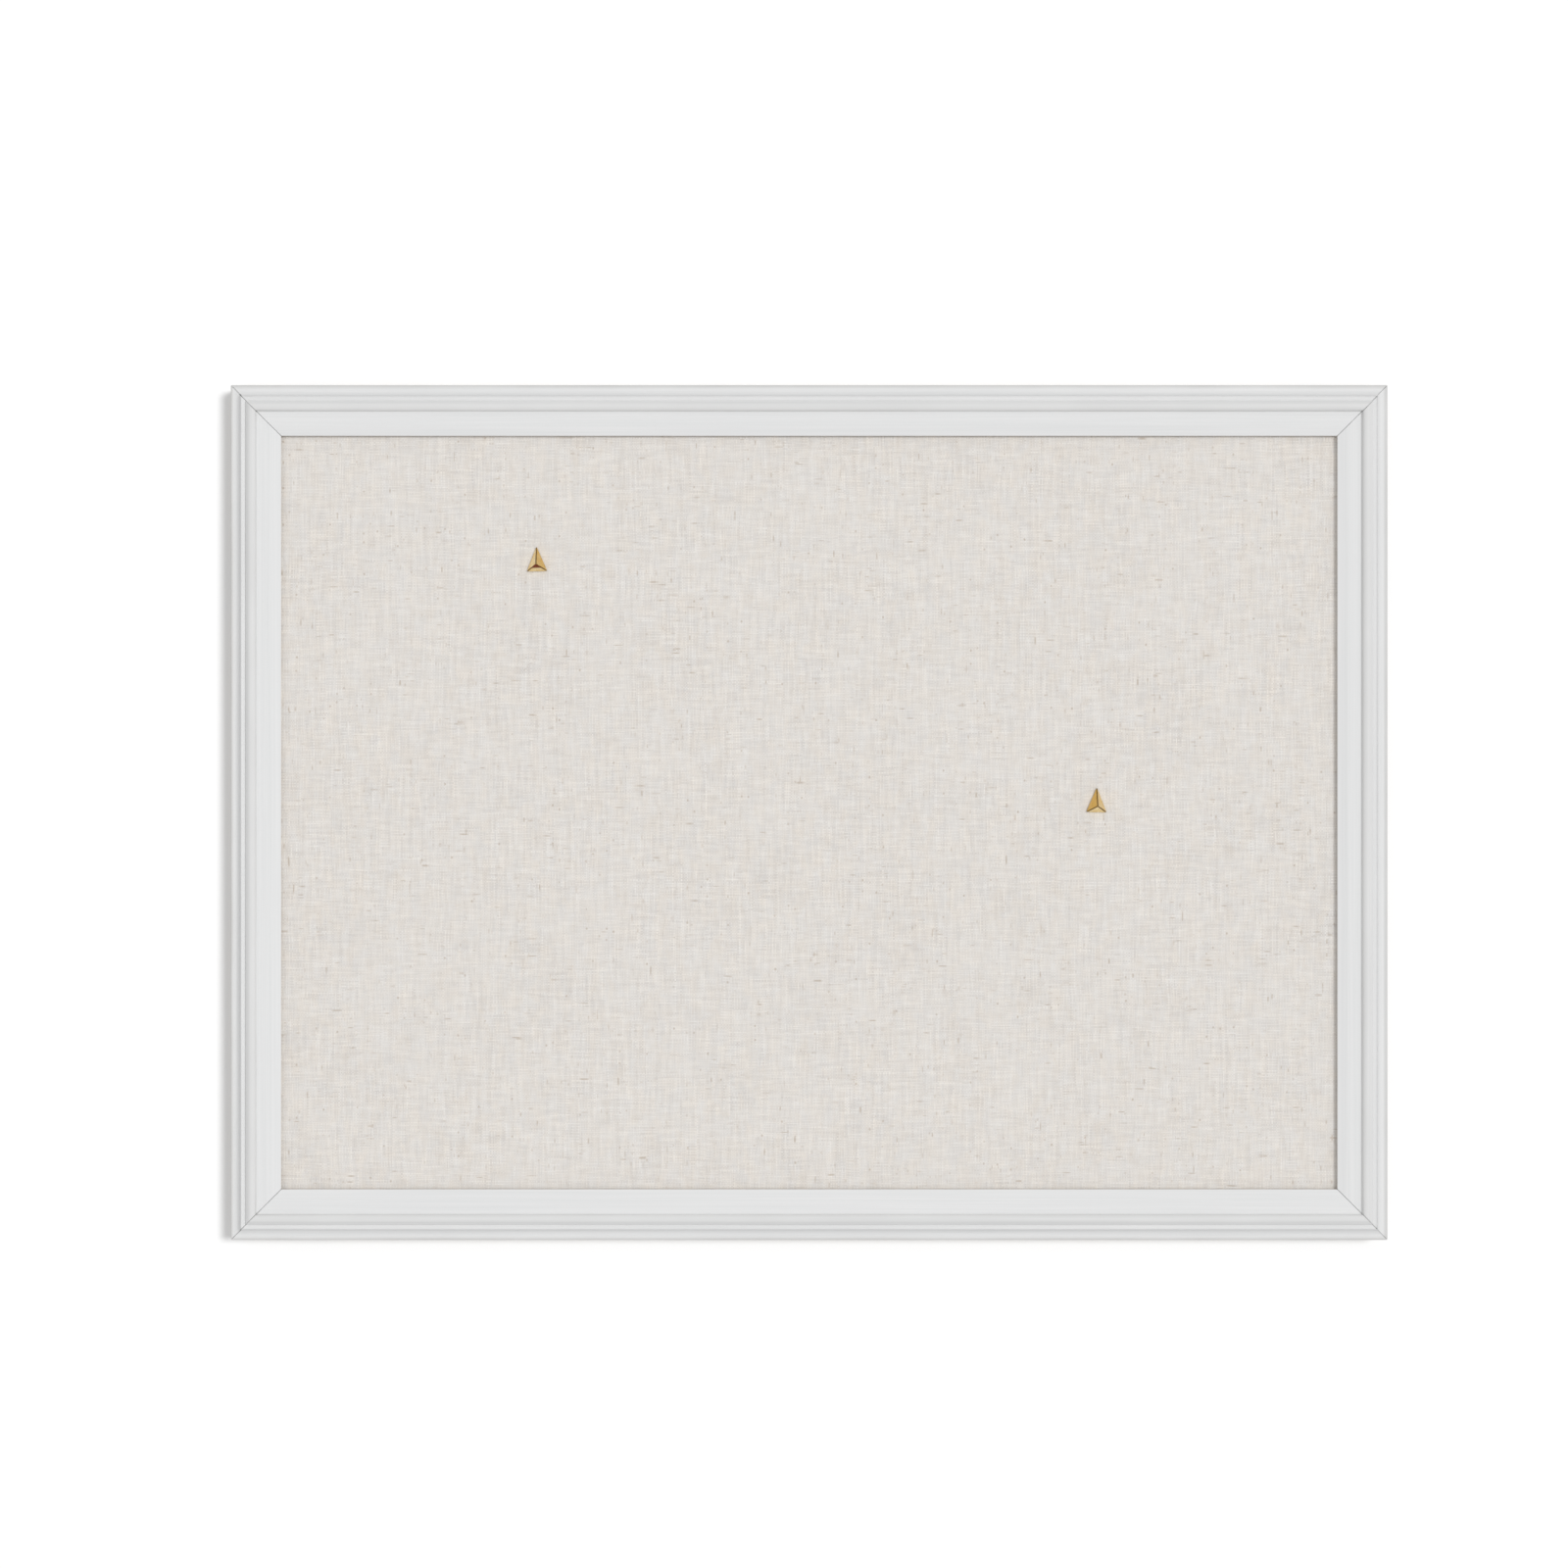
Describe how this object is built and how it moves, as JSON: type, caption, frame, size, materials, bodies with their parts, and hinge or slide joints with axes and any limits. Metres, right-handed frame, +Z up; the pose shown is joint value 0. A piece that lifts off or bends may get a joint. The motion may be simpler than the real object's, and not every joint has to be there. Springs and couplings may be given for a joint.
{
  "type": "bulletin board",
  "caption": "Rectangular wall board with a mitred white moulded frame round a stretched linen pinning surface, with gold pyramid push pins and D-ring hangers on the back.",
  "frame": {"origin": "middle of the board on the face of the wall, which is the plane that the backs of the bumpers stand on", "axes": "+X to the right as seen from the front, +Y into the wall, +Z up; the board faces -Y"},
  "size_m": [0.5842, 0.0267, 0.4318],
  "materials": {
    "painted_frame": "satin white paint on moulded wood",
    "linen": "plain-woven natural linen, matte",
    "softboard": "pressed softboard, matte",
    "hardboard": "brown hardboard, rough side out",
    "plain_steel": "bright steel",
    "plated_steel": "zinc-plated steel",
    "gold": "polished gold-coloured plating",
    "rubber": "matte black rubber"
  },
  "bodies": {
    "board": {"rail_top": "painted_frame", "stile_right": "painted_frame", "rail_bottom": "painted_frame", "stile_left": "painted_frame", "linen_cover": "linen", "core_board": "softboard", "backer_board": "hardboard", "v_nail_top_right_outer": "plain_steel", "v_nail_top_right_inner": "plain_steel", "v_nail_bottom_right_outer": "plain_steel", "v_nail_bottom_right_inner": "plain_steel", "v_nail_bottom_left_outer": "plain_steel", "v_nail_bottom_left_inner": "plain_steel", "v_nail_top_left_outer": "plain_steel", "v_nail_top_left_inner": "plain_steel", "point_top_1": "plain_steel", "point_top_2": "plain_steel", "point_top_3": "plain_steel", "point_top_4": "plain_steel", "point_right_1": "plain_steel", "point_right_2": "plain_steel", "point_bottom_1": "plain_steel", "point_bottom_2": "plain_steel", "point_bottom_3": "plain_steel", "point_bottom_4": "plain_steel", "point_left_1": "plain_steel", "point_left_2": "plain_steel", "hanger_strap_left": "plated_steel", "hanger_strap_right": "plated_steel", "hanger_screw_left": "plated_steel", "hanger_screw_right": "plated_steel", "bumper_top_left": "rubber", "bumper_top_right": "rubber", "bumper_bottom_left": "rubber", "bumper_bottom_right": "rubber"},
    "pin_left": {"pin_head_left": "gold", "pin_needle_left": "plain_steel"},
    "pin_right": {"pin_head_right": "gold", "pin_needle_right": "plain_steel"},
    "ring_left": {"hanger_ring_left": "plated_steel"},
    "ring_right": {"hanger_ring_right": "plated_steel"}
  },
  "joints": [
    {"name": "pin_left_pull", "type": "slide", "parent": "board", "child": "pin_left", "axis": [0, -1, 0], "range_m": [0, 0.01]},
    {"name": "pin_right_pull", "type": "slide", "parent": "board", "child": "pin_right", "axis": [0, -1, 0], "range_m": [0, 0.01]},
    {"name": "ring_left_swing", "type": "hinge", "parent": "board", "child": "ring_left", "pos_m": [-0.28192, -0.0022, 0.1199], "axis": [-1, 0, 0], "range_deg": [0, 166]},
    {"name": "ring_right_swing", "type": "hinge", "parent": "board", "child": "ring_right", "pos_m": [0.28192, -0.0022, 0.1199], "axis": [-1, 0, 0], "range_deg": [0, 166]}
  ]
}
